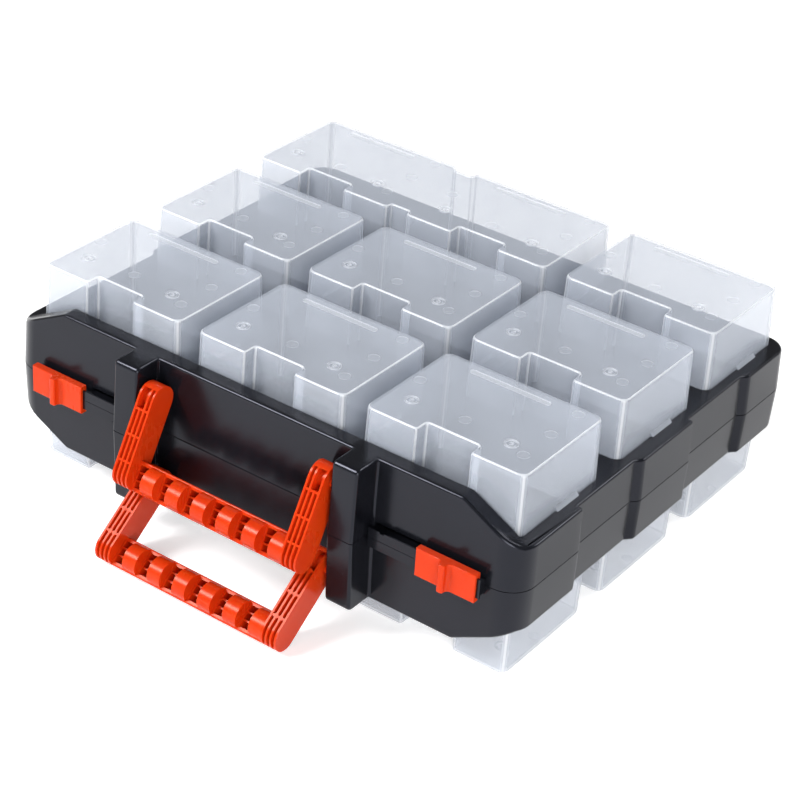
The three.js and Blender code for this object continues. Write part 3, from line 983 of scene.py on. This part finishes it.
@dataclass
class HalfCase:
    """One half of the case, with its windows, apron, pillars, rail and knuckles."""

    bins: Bins
    width: float = 380.0
    front: float = -159.3
    rear: float = 150.7
    deck: float = 28.5
    wall: float = 2.2
    crest: float = 1.8
    seam: float = 0.15
    seam_edge: float = 0.35
    slope: float = 0.03
    front_corner: float = 17.0
    rear_corner: float = 15.0
    recess_depth: float = 4.0
    recess_ramp: float = 4.8
    recesses: tuple[tuple[float, float], ...] = ((63.2, 66.0), (187.3, 69.5))
    apron_height: float = 48.3
    apron_thickness: float = 13.0
    apron_flat: float = 295.6
    apron_run: float = 38.2
    crest_root: float = 5.0
    crest_past: float = 25.0
    sleeve_wall: float = 1.6
    sleeve_level: float = 4.5
    pillar_inside: float = 72.0
    pillar_width: float = 18.0
    pillar_foot: float = 19.1
    pillar_head: float = 17.2
    pillar_edge: float = 3.5
    pillar_wall: float = 2.0
    pivot_forward: float = 10.8
    pivot_height: float = 29.6
    bore: float = 3.8
    hinge_reach: float = 6.5
    hinge_offset: float = 120.0
    knuckle: float = 5.5
    knuckle_width: float = 11.6
    knuckle_gap: float = 0.4
    knuckle_web: float = 9.0
    tongue: float = 12.0
    tongue_clearance: float = 0.6
    divider: float = 2.0
    pin_hole: float = 2.3
    rail_start: float = 91.5
    rail_lock_end: float = 124.0
    rail_end: float = 168.5
    rail_front: float = 5.7
    rail_flange: float = 1.0
    rail_half: float = 6.4
    rail_web: float = 4.4
    rail_slot: float = 3.0
    track_gap: float = 0.4
    detent_start: float = 8.0
    detent_width: float = 3.0
    detent_depth: float = 1.0

    def mass(self, name: str, inset: float, bottom: float) -> Thing:
        """Models the case and its apron as one solid block, drawn in by an inset.

        Args:
            name: The object's name.
            inset: How far all its outer faces are drawn in.
            bottom: Its lowest height.

        Returns:
            The solid.
        """
        side = self.width / 2 - inset
        front, rear = self.front + inset, self.rear - inset
        top, deck = self.apron_height - inset, self.deck - inset
        body = block(name, (-side, side), (front, rear), (bottom, top))
        round_edges(body, self.front_corner - inset, 8, lambda a, b, turn: upright(a, b) and a.y < front + 1)
        round_edges(body, self.rear_corner - inset, 8, lambda a, b, turn: upright(a, b) and a.y > rear - 1)
        low, reach = side - self.recess_depth, side + 2
        ramp_slope = self.recess_ramp / self.recess_depth
        for hand in (-1, 1):
            for start, length in self.recesses:
                step = self.front + start - inset
                ramp = self.front + start + length + inset
                far = ramp + (reach - side) * ramp_slope
                recess = block("recess", (hand * low, hand * reach), (step, far), (bottom - OVERRUN, top + OVERRUN))
                slide(
                    recess,
                    lambda p, hand=hand, far=far: abs(p.x - hand * low) < TOUCH and p.y > far - TOUCH,
                    (0, ramp - self.recess_ramp - far, 0),
                )
                change(body, Change.CUT, recess)
        drawn = self.slope * top
        half_depth = (rear - front) / 2
        factors = ((side - drawn) / side, (half_depth - drawn) / half_depth, 1)
        spread(body, lambda p: p.z > top - TOUCH, factors, (0, (front + rear) / 2, 0))
        # Above the deck only the crest of the apron stays, whose ends slope down to the deck
        rise = self.apron_height - self.deck
        along = self.apron_run / rise
        drawn_in = inset * (math.hypot(self.apron_run, rise) - self.apron_run) / rise
        half_top = self.apron_flat / 2 - drawn_in
        foot, head = deck - self.crest_root, top + self.crest_past
        half_foot, half_head = half_top + (top - foot) * along, half_top + (top - head) * along
        thickness = (front - 2 * WIDE_OVERRUN, self.front + self.apron_thickness - inset)
        crest = block("crest", (-half_foot, half_foot), thickness, (foot, head))
        spread(crest, lambda p: p.z > head - TOUCH, (half_head / half_foot, 1, 1), (0, 0, 0))
        across, depth = about(0, side + WIDE_OVERRUN), (front - WIDE_OVERRUN, rear + WIDE_OVERRUN)
        above = block("above", across, depth, (deck, top + 1.5 * WIDE_OVERRUN))
        change(body, Change.CUT, change(above, Change.CUT, crest))
        return body

    def pillar(self, hand: int, inset: float, bottom: float, back: float) -> Thing:
        """Models one handle pillar, or the hollow inside it.

        Args:
            hand: Minus one on the left and one on the right.
            inset: How far its outer faces are drawn in.
            bottom: Its lowest height.
            back: How far back it reaches into the case.

        Returns:
            The solid.
        """
        wall = self.pillar_wall if inset else 0
        inner, outer = self.pillar_inside + wall, self.pillar_inside + self.pillar_width - wall
        foot = self.front - self.pillar_foot + inset
        top = self.apron_height - inset
        made = block("pillar", (hand * inner, hand * outer), (foot, back), (bottom, top))
        slide(made, lambda p: p.z > top - TOUCH and p.y < foot + 1, (0, self.pillar_foot - self.pillar_head, 0))

        def front_of_head(a: Vector, b: Vector, turn: float) -> bool:
            return min(a.z, b.z) > top - TOUCH and max(a.y, b.y) < foot + 5

        round_edges(made, self.pillar_edge - inset, 5, front_of_head)
        return made

    def at_bins(self, name: str, grow: float, low: float, high: float) -> list[Thing]:
        """Makes a solid with the plan of each of the half's bins.

        Args:
            name: The objects' name.
            grow: How much wider than the bin.
            low: Their lower height.
            high: Their upper height.

        Returns:
            One solid for each bin, in its place.
        """
        models = {cells: self.bins.plan(name, cells, grow, low, high) for cells in (1, 2)}
        found = [put(copied(models[cells], name), (0, 0, 0), (x, y, 0)) for _, _, cells, x, y in self.bins.places()]
        discard(*models.values())
        return found

    def rails(self) -> list[Thing]:
        """Makes the rail that the sliders run on, with its track on the left.

        Returns:
            The solids to join.
        """
        face = self.front - self.rail_front
        flange = (face, face + self.rail_flange)
        web = (face + BITE, self.front + self.wall / 2)
        found = []
        for hand in (-1, 1):
            run = (hand * self.rail_start, hand * self.rail_lock_end)
            found.append(block("flange", run, flange, (self.seam, self.rail_half)))
            found.append(block("web", run, web, (self.seam, self.rail_web)))
        run = (-self.rail_end, -self.rail_lock_end + TOUCH)
        low_web = (face + BITE, self.front - self.track_gap)
        found.append(block("track", run, flange, (-self.rail_half, self.rail_half)))
        found.append(block("track_web", run, web, (self.seam, self.rail_web)))
        found.append(block("track_low", run, low_web, (-self.rail_web, self.seam + BITE)))
        return found

    def rail_cuts(self) -> list[Thing]:
        """Makes the core holes behind the rail and the notch that holds the slider.

        Returns:
            The solids to cut away.
        """
        face = self.front - self.rail_front
        behind = (self.front - self.rail_front / 2 + self.rail_flange, self.front + self.wall + OVERRUN)
        slot = (self.rail_web, self.rail_web + self.rail_slot)
        found = [
            block("core_hole", (hand * self.rail_start, hand * self.rail_lock_end), behind, slot) for hand in (-1, 1)
        ]
        start = self.rail_start + self.detent_start
        found.append(
            block(
                "detent",
                (start, start + self.detent_width),
                (face - OVERRUN, face + self.rail_flange + OVERRUN),
                (self.rail_half - self.detent_depth, self.rail_half + OVERRUN),
            )
        )
        return found

    def knuckles(self) -> tuple[list[Thing], list[Thing]]:
        """Makes the hinge knuckles of one half, and the holes for the pins and the divider's tongues.

        Returns:
            The solids to join, and the solids to cut away.
        """
        axis = self.rear + self.hinge_reach
        back = self.rear - self.wall
        inner = self.tongue / 2 + self.knuckle_gap
        outer = inner + self.knuckle_width + self.knuckle_gap
        half = self.tongue / 2 + self.tongue_clearance
        top = self.divider / 2 + self.tongue_clearance
        joined, away = [], []
        for centre in (-self.hinge_offset, self.hinge_offset):
            for start in (centre - inner - self.knuckle_width, centre + outer):
                span = (start, start + self.knuckle_width)
                joined.append(bar("knuckle", self.knuckle, span, axis, 0))
                web = block("knuckle_web", span, (back, axis), (self.seam, self.knuckle_web))
                slide(web, lambda p: p.y > axis - TOUCH and p.z > 1, (0, 0, self.knuckle - self.knuckle_web))
                joined.append(web)
                away.append(bar("pin_hole", self.pin_hole, (span[0] - OVERRUN, span[1] + OVERRUN), axis, 0, 24))
            room = (back - OVERRUN, self.rear + OVERRUN)
            away.append(block("tongue", about(centre, half), room, (-OVERRUN, top)))
        return joined, away

    def make(self) -> Thing:
        """Models one half with the seam at height zero.

        Returns:
            The half case.
        """
        case = self.mass("half_case", 0, self.seam)
        middle = self.front + self.apron_thickness / 2
        change(case, Change.JOIN, *(self.pillar(hand, 0, self.seam, middle) for hand in (-1, 1)))
        flatten(case)
        pillar_sides = (self.pillar_inside, self.pillar_inside + self.pillar_width)

        def outer_edge(a: Vector, b: Vector, turn: float) -> bool:
            if turn > SHARP:
                return min(a.z, b.z) > self.deck - BITE or upright(a, b)
            at_pillar = a.y < self.front + 3 and min(abs(abs(a.x) - side) for side in pillar_sides) < 0.5
            return turn < -SHARP and at_pillar and upright(a, b)

        def seam_rim(a: Vector, b: Vector, turn: float) -> bool:
            return turn > SHARP and max(a.z, b.z) < self.seam + LOOSE_TOUCH

        round_edges(case, self.crest, 3, outer_edge)
        round_edges(case, self.seam_edge, 2, seam_rim)
        columns, rows = self.bins.pitch, self.bins.row_pitch
        score(case, (1, 0, 0), (-columns, -columns / 2, 0, columns / 2, columns))
        score(case, (0, 1, 0), (-rows, 0, rows))
        change(case, Change.CUT, self.mass("hollow", self.wall, -OVERRUN))
        into_case = self.front + self.wall + OVERRUN
        change(case, Change.CUT, *(self.pillar(hand, self.wall, -OVERRUN, into_case) for hand in (-1, 1)))
        gap = self.bins.sleeve_gap
        sleeves = self.at_bins("sleeve", gap + self.sleeve_wall, self.sleeve_level, self.deck - self.wall / 2)
        windows = self.at_bins("window", gap, self.sleeve_level - OVERRUN, self.deck + OVERRUN)
        joined, away = self.knuckles()
        change(case, Change.JOIN, *sleeves, *joined, *self.rails())
        inner, outer = self.pillar_inside - OVERRUN, self.pillar_inside + self.pillar_wall + OVERRUN
        pivot = (self.front - self.pivot_forward, self.pivot_height)
        bores = [bar("bore", self.bore, (hand * inner, hand * outer), *pivot) for hand in (-1, 1)]
        change(case, Change.CUT, *windows, *away, *bores, *self.rail_cuts())
        smooth(case)
        return case


@dataclass
class Handle:
    """A carrying handle about its pivot, with its arms reaching forward: ribbed arms and a grip of half shells."""

    length: float = 46.7
    radius: float = 9.6
    outside: float = 68.9
    arm_width: float = 11.2
    wall: float = 1.3
    web: float = 1.6
    rim: float = 1.8
    channels: int = 3
    rib: float = 1.4
    rib_start: float = 8.0
    rib_pitch: float = 16.0
    ribs: int = 3
    rib_inset: float = 0.2
    rib_drop: float = 0.25
    rib_dot: float = 1.5
    boss: float = 5.5
    stub: float = 3.5
    stub_end: float = 76.0
    plate: float = 2.0
    shell: float = 8.9
    shell_wall: float = 1.8
    end_wall: float = 1.3
    grip_rib: float = 1.1
    grip_rib_offset: float = 2.6
    rib_bite: float = 0.5
    root_half: float = 0.9
    slots: int = 12

    @property
    def inside(self) -> float:
        """Half the clear length between the arms."""
        return self.outside - self.arm_width

    @property
    def channel(self) -> float:
        """Width of one channel in an arm."""
        return (self.arm_width - (self.channels + 1) * self.wall) / self.channels

    def recess(self, span: Span, start: float, face: int) -> Thing:
        """Models the hollow of a channel, with its rounded end past the pivot.

        Args:
            span: The two sides of the channel along X.
            start: Where it starts along Y.
            face: One on the upper face and minus one on the lower face.

        Returns:
            The solid to cut away.
        """
        end = self.radius - self.rim
        shoulder = end * math.sqrt(0.5)
        past = face * (self.radius + OVERRUN)
        bend = bar("bend", end, span, 0, 0, 40)
        halve(bend, (0, 0, face * self.web / 2), (0, 0, -face))
        halve(bend, (0, 0, 0), (0, -1, 0))
        halve(bend, (0, 0, face * (shoulder + TOUCH)), (0, 0, face))
        run = block("channel", span, (start, TOUCH), (face * self.web / 2, past))
        mouth = block("mouth", span, (-0.5, shoulder), (face * shoulder, past))
        return change(run, Change.JOIN, bend, mouth)

    def arm(self, hand: int) -> Thing:
        """Models one arm.

        Args:
            hand: Minus one on the left and one on the right.

        Returns:
            The arm.
        """
        reach = -self.length - self.radius
        arm = block(
            "arm", (hand * self.inside, hand * self.outside), (reach, self.radius), (-self.radius, self.radius)
        )
        round_edges(
            arm,
            self.radius - 0.02,
            9,
            lambda a, b, turn: abs(a.x - b.x) > 5 and abs(abs(a.z) - self.radius) < TOUCH,
        )
        boss_end = self.outside - 2 * self.channel - 3 * self.wall
        rows = []
        for index in range(self.channels):
            near = self.inside + self.wall + index * (self.wall + self.channel)
            rows.append((near, near + self.channel, reach - OVERRUN))
        rows.append((boss_end + self.wall, self.outside - self.wall, self.rib / 2 - self.rib_start))
        for near, far, start in rows:
            for face in (-1, 1):
                change(arm, Change.CUT, self.recess(sorted((hand * near, hand * far)), start, face))
        low = -self.radius + self.rib_drop
        sides = sorted((hand * self.inside, hand * self.outside))
        for index in range(self.ribs):
            middle = -(self.rib_start + index * self.rib_pitch)
            across = (sides[0] + self.rib_inset, sides[1] - self.rib_inset)
            rib = block("rib", across, about(middle, self.rib / 2), (low, -low))
            change(arm, Change.JOIN, rib)
            for fin in range(1, self.channels):
                x = hand * (self.inside + self.wall / 2 + fin * (self.wall + self.channel))
                top = -2 if index else -self.radius + 1
                span = (-self.radius + LOOSE_TOUCH, top)
                change(arm, Change.JOIN, post("rib_dot", self.rib_dot, x, middle, span, 16))
        change(
            arm,
            Change.JOIN,
            bar("boss", self.boss, (hand * boss_end, hand * (self.outside - BITE)), 0, 0),
            bar("stub", self.stub, (hand * (self.outside - self.wall), hand * self.stub_end), 0, 0),
        )
        return arm

    def slot(self, start: float, length: float, face: int) -> Thing:
        """Models one length of the grip: a half shell on one face, open on the other.

        Args:
            start: Where it starts along X.
            length: How long it is.
            face: One where the shell stands up, and minus one where it hangs down.

        Returns:
            The solid.
        """
        tip = -self.length
        half_plate = self.plate / 2
        span = (start - TOUCH, start + length + TOUCH)
        hollow = (start + self.end_wall, start + length - self.end_wall)
        inner = self.shell - self.shell_wall
        solid = bar("slot", self.shell, span, tip, 0, 36)
        halve(solid, (0, tip, 0), (0, 0, -face))
        plate = block("plate", span, about(tip, self.radius), (-half_plate, half_plate))
        round_edges(
            plate, half_plate - BITE, 3, lambda a, b, turn: abs(a.x - b.x) > 5 and abs(a.z) > half_plate - TOUCH
        )
        change(solid, Change.JOIN, plate)
        core = bar("core", inner, hollow, tip, 0, 32)
        halve(core, (0, tip, 0), (0, 0, -face))
        mouth = block("mouth", hollow, about(tip, inner), (face * TOUCH, -face * (half_plate + OVERRUN)))
        change(solid, Change.CUT, core, mouth)
        roof = math.sqrt(inner**2 - self.grip_rib_offset**2) + self.shell_wall / 2
        run = (hollow[0] - self.rib_bite, hollow[1] + self.rib_bite)
        high = (-face * self.plate / 2, face * roof)
        for row in (-1, 1):
            across = about(tip + row * self.grip_rib_offset, self.grip_rib / 2)
            change(solid, Change.JOIN, block("grip_rib", run, across, high))
        return solid

    def make(self) -> Thing:
        """Models the handle about its pivot.

        Returns:
            The handle.
        """
        length = 2 * self.inside / self.slots
        up = self.slot(0, length, 1)
        down = self.slot(0, length, -1)
        lengths = []
        for index in range(self.slots):
            model = down if index % 2 == 0 else up
            lengths.append(put(copied(model, "length"), (0, 0, 0), (-self.inside + index * length, 0, 0)))
        discard(up, down)
        handle = change(self.arm(-1), Change.JOIN, self.arm(1), *lengths)
        tip = -self.length
        for hand in (-1, 1):
            near, far = hand * (self.inside - 0.3), hand * (self.inside + self.wall / 2)
            run = (tip - self.radius + self.rib_inset, tip + self.radius - self.rib_inset)
            change(handle, Change.JOIN, block("root", (near, far), run, (-self.root_half, self.root_half)))
        smooth(handle)
        return handle


@dataclass
class Slider:
    """The latch slider of the upper half: a plate with hooked edges and a finger rib."""

    start: float = -166.3
    length: float = 40.4
    front: float = -167.1
    half_height: float = 9.3
    plate: float = 1.8
    lip: float = 4.8
    edge: float = 0.7
    edge_turn: float = 35.0
    hook_front: float = -163.7
    hook_inside: float = 6.7
    hook_mouth: float = 4.8
    rib_reach: float = 4.5
    rib_width: float = 4.4
    rib_fillet: float = 2.8
    rib_round: float = 1.2

    def make(self) -> Thing:
        """Models the slider with the seam at height zero.

        Returns:
            The slider.
        """
        end = self.start + self.length
        middle = (self.start + end) / 2
        high = (-self.half_height, self.half_height)
        back = self.front + self.lip
        half = self.rib_width / 2
        tip = self.front - self.rib_reach
        slider = block("slider", (self.start, end), (self.front, back), high)
        rib = block("finger_rib", about(middle, half), (tip, self.front + 1), high)
        change(slider, Change.JOIN, rib)
        flatten(slider)
        round_edges(slider, self.rib_fillet, 5, lambda a, b, turn: upright(a, b) and turn < -SHARP)
        round_edges(slider, self.rib_round, 4, lambda a, b, turn: upright(a, b) and turn > SHARP and a.y < tip + BITE)
        round_edges(slider, self.edge, 3, lambda a, b, turn: turn > self.edge_turn and max(a.y, b.y) < back - BITE)
        run = (self.start - OVERRUN, end + OVERRUN)
        under = self.front + self.plate
        inside = block("inside", run, (under, self.hook_front), (-self.hook_inside, self.hook_inside))
        mouth = block("mouth", run, (under, back + OVERRUN), (-self.hook_mouth, self.hook_mouth))
        change(slider, Change.CUT, inside, mouth)
        smooth(slider)
        return slider


@dataclass
class Organizer:
    """The whole box: it makes each kind of piece once and puts copies of it in their places."""

    bins: Bins
    case: HalfCase
    handle: Handle
    slider: Slider
    upper_drop: float = 62.0
    lower_drop: float = 37.62

    def settle(self, piece: Thing, level: Level) -> Thing:
        """Puts a piece of a half, modelled with the seam at height zero, in its place in the box."""
        turn = (0, 0, 0) if level is Level.UPPER else (0, 180, 0)
        return put(piece, turn, (0, 0, self.bins.reach))

    def build_cases(self, material: bpy.types.Material) -> None:
        """Builds the two half cases.

        Args:
            material: Their finish.
        """
        model = self.case.make()
        for level in Level:
            piece = self.settle(copied(model, f"{level.word}_case_moulding"), level)
            hand_over(piece, material, level.value, f"{level.word}_shell")
        discard(model)

    def build_bins(self, material: bpy.types.Material) -> None:
        """Builds the bins of both halves.

        Args:
            material: Their finish.
        """
        models = {cells: self.bins.make(cells) for cells in (1, 2)}
        for level in Level:
            columns = ["left", "middle", "right"] if level is Level.UPPER else ["right", "middle", "left"]
            for row, column, cells, x, y in self.bins.places():
                word = "double" if column < 0 else columns[column]
                piece = put(copied(models[cells], f"{level.word}_clear_bin_{row}_{word}"), (0, 0, 0), (x, y, 0))
                self.settle(piece, level)
                hand_over(piece, material, level.value, f"{level.word}_bin_{row}_{word}")
        discard(*models.values())

    def build_handles(self, material: bpy.types.Material) -> None:
        """Builds the two handles.

        Args:
            material: Their finish.
        """
        model = self.handle.make()
        pivot = (0, self.case.front - self.case.pivot_forward, self.case.pivot_height)
        for level, angle in ((Level.UPPER, self.upper_drop), (Level.LOWER, -self.lower_drop)):
            piece = put(copied(model, f"{level.word}_handle_moulding"), (angle, 0, 0), pivot)
            self.settle(piece, level)
            hand_over(piece, material, f"{level.word}_grip", f"{level.word}_handle")
        discard(model)

    def build_sliders(self, material: bpy.types.Material) -> None:
        """Builds the two latch sliders.

        Args:
            material: Their finish.
        """
        model = self.slider.make()
        for level, side in ((Level.UPPER, "left"), (Level.LOWER, "right")):
            piece = self.settle(copied(model, f"{side}_latch_slider"), level)
            hand_over(piece, material, f"{side}_slider", f"{side}_latch")
        discard(model)


@dataclass(frozen=True)
class Lamp:
    """A round soft lamp that is turned to the box, with its size in metres and its power in watts."""

    name: str
    place: tuple[float, float, float]
    size: float
    power: float

    def build(self, target: Vector) -> None:
        """Adds the lamp.

        Args:
            target: The place that it is turned to, in metres.
        """
        data = bpy.data.lights.new(self.name, "AREA")
        data.shape = "DISK"
        data.size = self.size
        data.energy = self.power
        lamp = bpy.data.objects.new(self.name, data)
        lamp.location = self.place
        lamp.rotation_euler = (target - Vector(self.place)).to_track_quat("-Z", "Y").to_euler()
        bpy.context.scene.collection.objects.link(lamp)


@dataclass
class Studio:
    """The floor, the lamps and the camera. Its lengths are in metres, apart from the floor's gap."""

    place: tuple[float, float, float] = (0.69181, -1.03340, 0.80793)
    yaw: float = 33.982
    pitch: float = -31.546
    roll: float = 4.342
    lens: float = 102.56
    sensor: float = 36.0
    floor_size: float = 12.0
    floor_gap: float = 0.2
    floor_colour: str = "#f4f4f4"
    floor_lift: float = 0.5
    floor_near: float = 0.7
    floor_far: float = 2.0
    horizon: tuple[float, float] = (0.02, 0.3)
    ceiling: float = 0.2
    target: tuple[float, float, float] = (0, 0, 0.06)
    lamps: tuple[Lamp, ...] = (
        Lamp("key_lamp", (-1.2, -1.5, 1.75), 0.9, 54.0),
        Lamp("fill_lamp", (1.6, -1.7, 0.9), 1.4, 39.0),
        Lamp("back_lamp", (1.2, 1.7, 1.7), 0.9, 20.0),
    )

    def build_camera(self) -> None:
        """Adds the camera at the photograph's angle."""
        yaw, pitch, roll = (math.radians(angle) for angle in (self.yaw, self.pitch, self.roll))
        ahead = Vector((-math.sin(yaw) * math.cos(pitch), math.cos(yaw) * math.cos(pitch), math.sin(pitch)))
        level_right = Vector((math.cos(yaw), math.sin(yaw), 0))
        level_up = level_right.cross(ahead)
        right = math.cos(roll) * level_right + math.sin(roll) * level_up
        up = math.cos(roll) * level_up - math.sin(roll) * level_right
        turned = Matrix((right, up, -ahead)).transposed().to_4x4()
        data = bpy.data.cameras.new("camera")
        data.lens = self.lens
        data.sensor_width = self.sensor
        camera = bpy.data.objects.new("camera", data)
        camera.matrix_world = Matrix.Translation(self.place) @ turned
        bpy.context.scene.collection.objects.link(camera)
        bpy.context.scene.camera = camera

    def build_floor(self) -> None:
        """Adds the pale floor, which is lifted to white where it is seen straight or in a shiny or clear surface."""
        bpy.ops.object.select_all(action="DESELECT")
        # A hair below the bins, so that the two flat faces don't share one plane
        bpy.ops.mesh.primitive_plane_add(size=self.floor_size, location=(0, 0, -self.floor_gap * MM))
        floor = named("floor")
        material, tree, output = blank_material("studio_paper")
        patterns = Patterns(tree)
        paper = add_node(tree, "BsdfDiffuse", {"Color": linear(self.floor_colour)}).outputs[0]
        path = add_node(tree, "LightPath").outputs
        seen = path["Is Camera Ray"]
        for ray in ("Is Glossy Ray", "Is Transmission Ray"):
            seen = patterns.reckoned("MAXIMUM", seen, path[ray])
        # The lamps don't reach the far floor, so the lift grows with the distance from the box
        distance = add_node(tree, "VectorMath", {"operation": "LENGTH", 0: patterns.object_place()}).outputs["Value"]
        near_lift = patterns.remapped(distance, (self.floor_near, self.floor_far), (self.floor_lift, 1.0))
        lift = patterns.reckoned("MULTIPLY", seen, near_lift)
        glow = add_node(tree, "Emission", {"Strength": lift}).outputs[0]
        both = add_node(tree, "AddShader", {0: paper, 1: glow}).outputs[0]
        tree.links.new(both, output.inputs["Surface"])
        dress(floor, material)

    def build_world(self) -> None:
        """Adds the surroundings, white round the horizon and dim overhead, so that the black deck stays dark."""
        world = bpy.data.worlds.new("studio")
        bpy.context.scene.world = world
        world.use_nodes = True
        tree = world.node_tree
        tree.nodes.clear()
        towards = add_node(tree, "TexCoord").outputs["Generated"]
        height = add_node(tree, "SeparateXYZ", {"Vector": towards}).outputs["Z"]
        low, high = self.horizon
        ramp = {"interpolation_type": "SMOOTHSTEP", 0: height, 1: low, 2: high, 3: 1.0, 4: self.ceiling}
        shade = add_node(tree, "MapRange", ramp).outputs[0]
        sky = add_node(tree, "Background", {"Color": linear("#ffffff"), "Strength": shade}).outputs[0]
        add_node(tree, "OutputWorld", {"Surface": sky})

    def build(self) -> None:
        """Sets up the whole studio."""
        bpy.context.scene.view_settings.view_transform = "Standard"
        self.build_camera()
        self.build_floor()
        self.build_world()
        for lamp in self.lamps:
            lamp.build(Vector(self.target))


def main() -> None:
    """Builds the looks of the box over its frame."""
    logging.basicConfig(level=logging.INFO, format="%(message)s")
    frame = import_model()
    Studio().build()
    bins = Bins()
    organizer = Organizer(bins, HalfCase(bins), Handle(), Slider())
    black, orange, clear, steel = (finish.material() for finish in (BLACK, ORANGE, CLEAR, STEEL))
    organizer.build_cases(black)
    organizer.build_bins(clear)
    organizer.build_handles(orange)
    organizer.build_sliders(orange)
    for node, material in (("divider_panel", black), ("hinge_pin_left", steel), ("hinge_pin_right", steel)):
        for slot in frame["nodes"][node].material_slots:
            slot.material = material


if __name__ == "__main__":
    main()
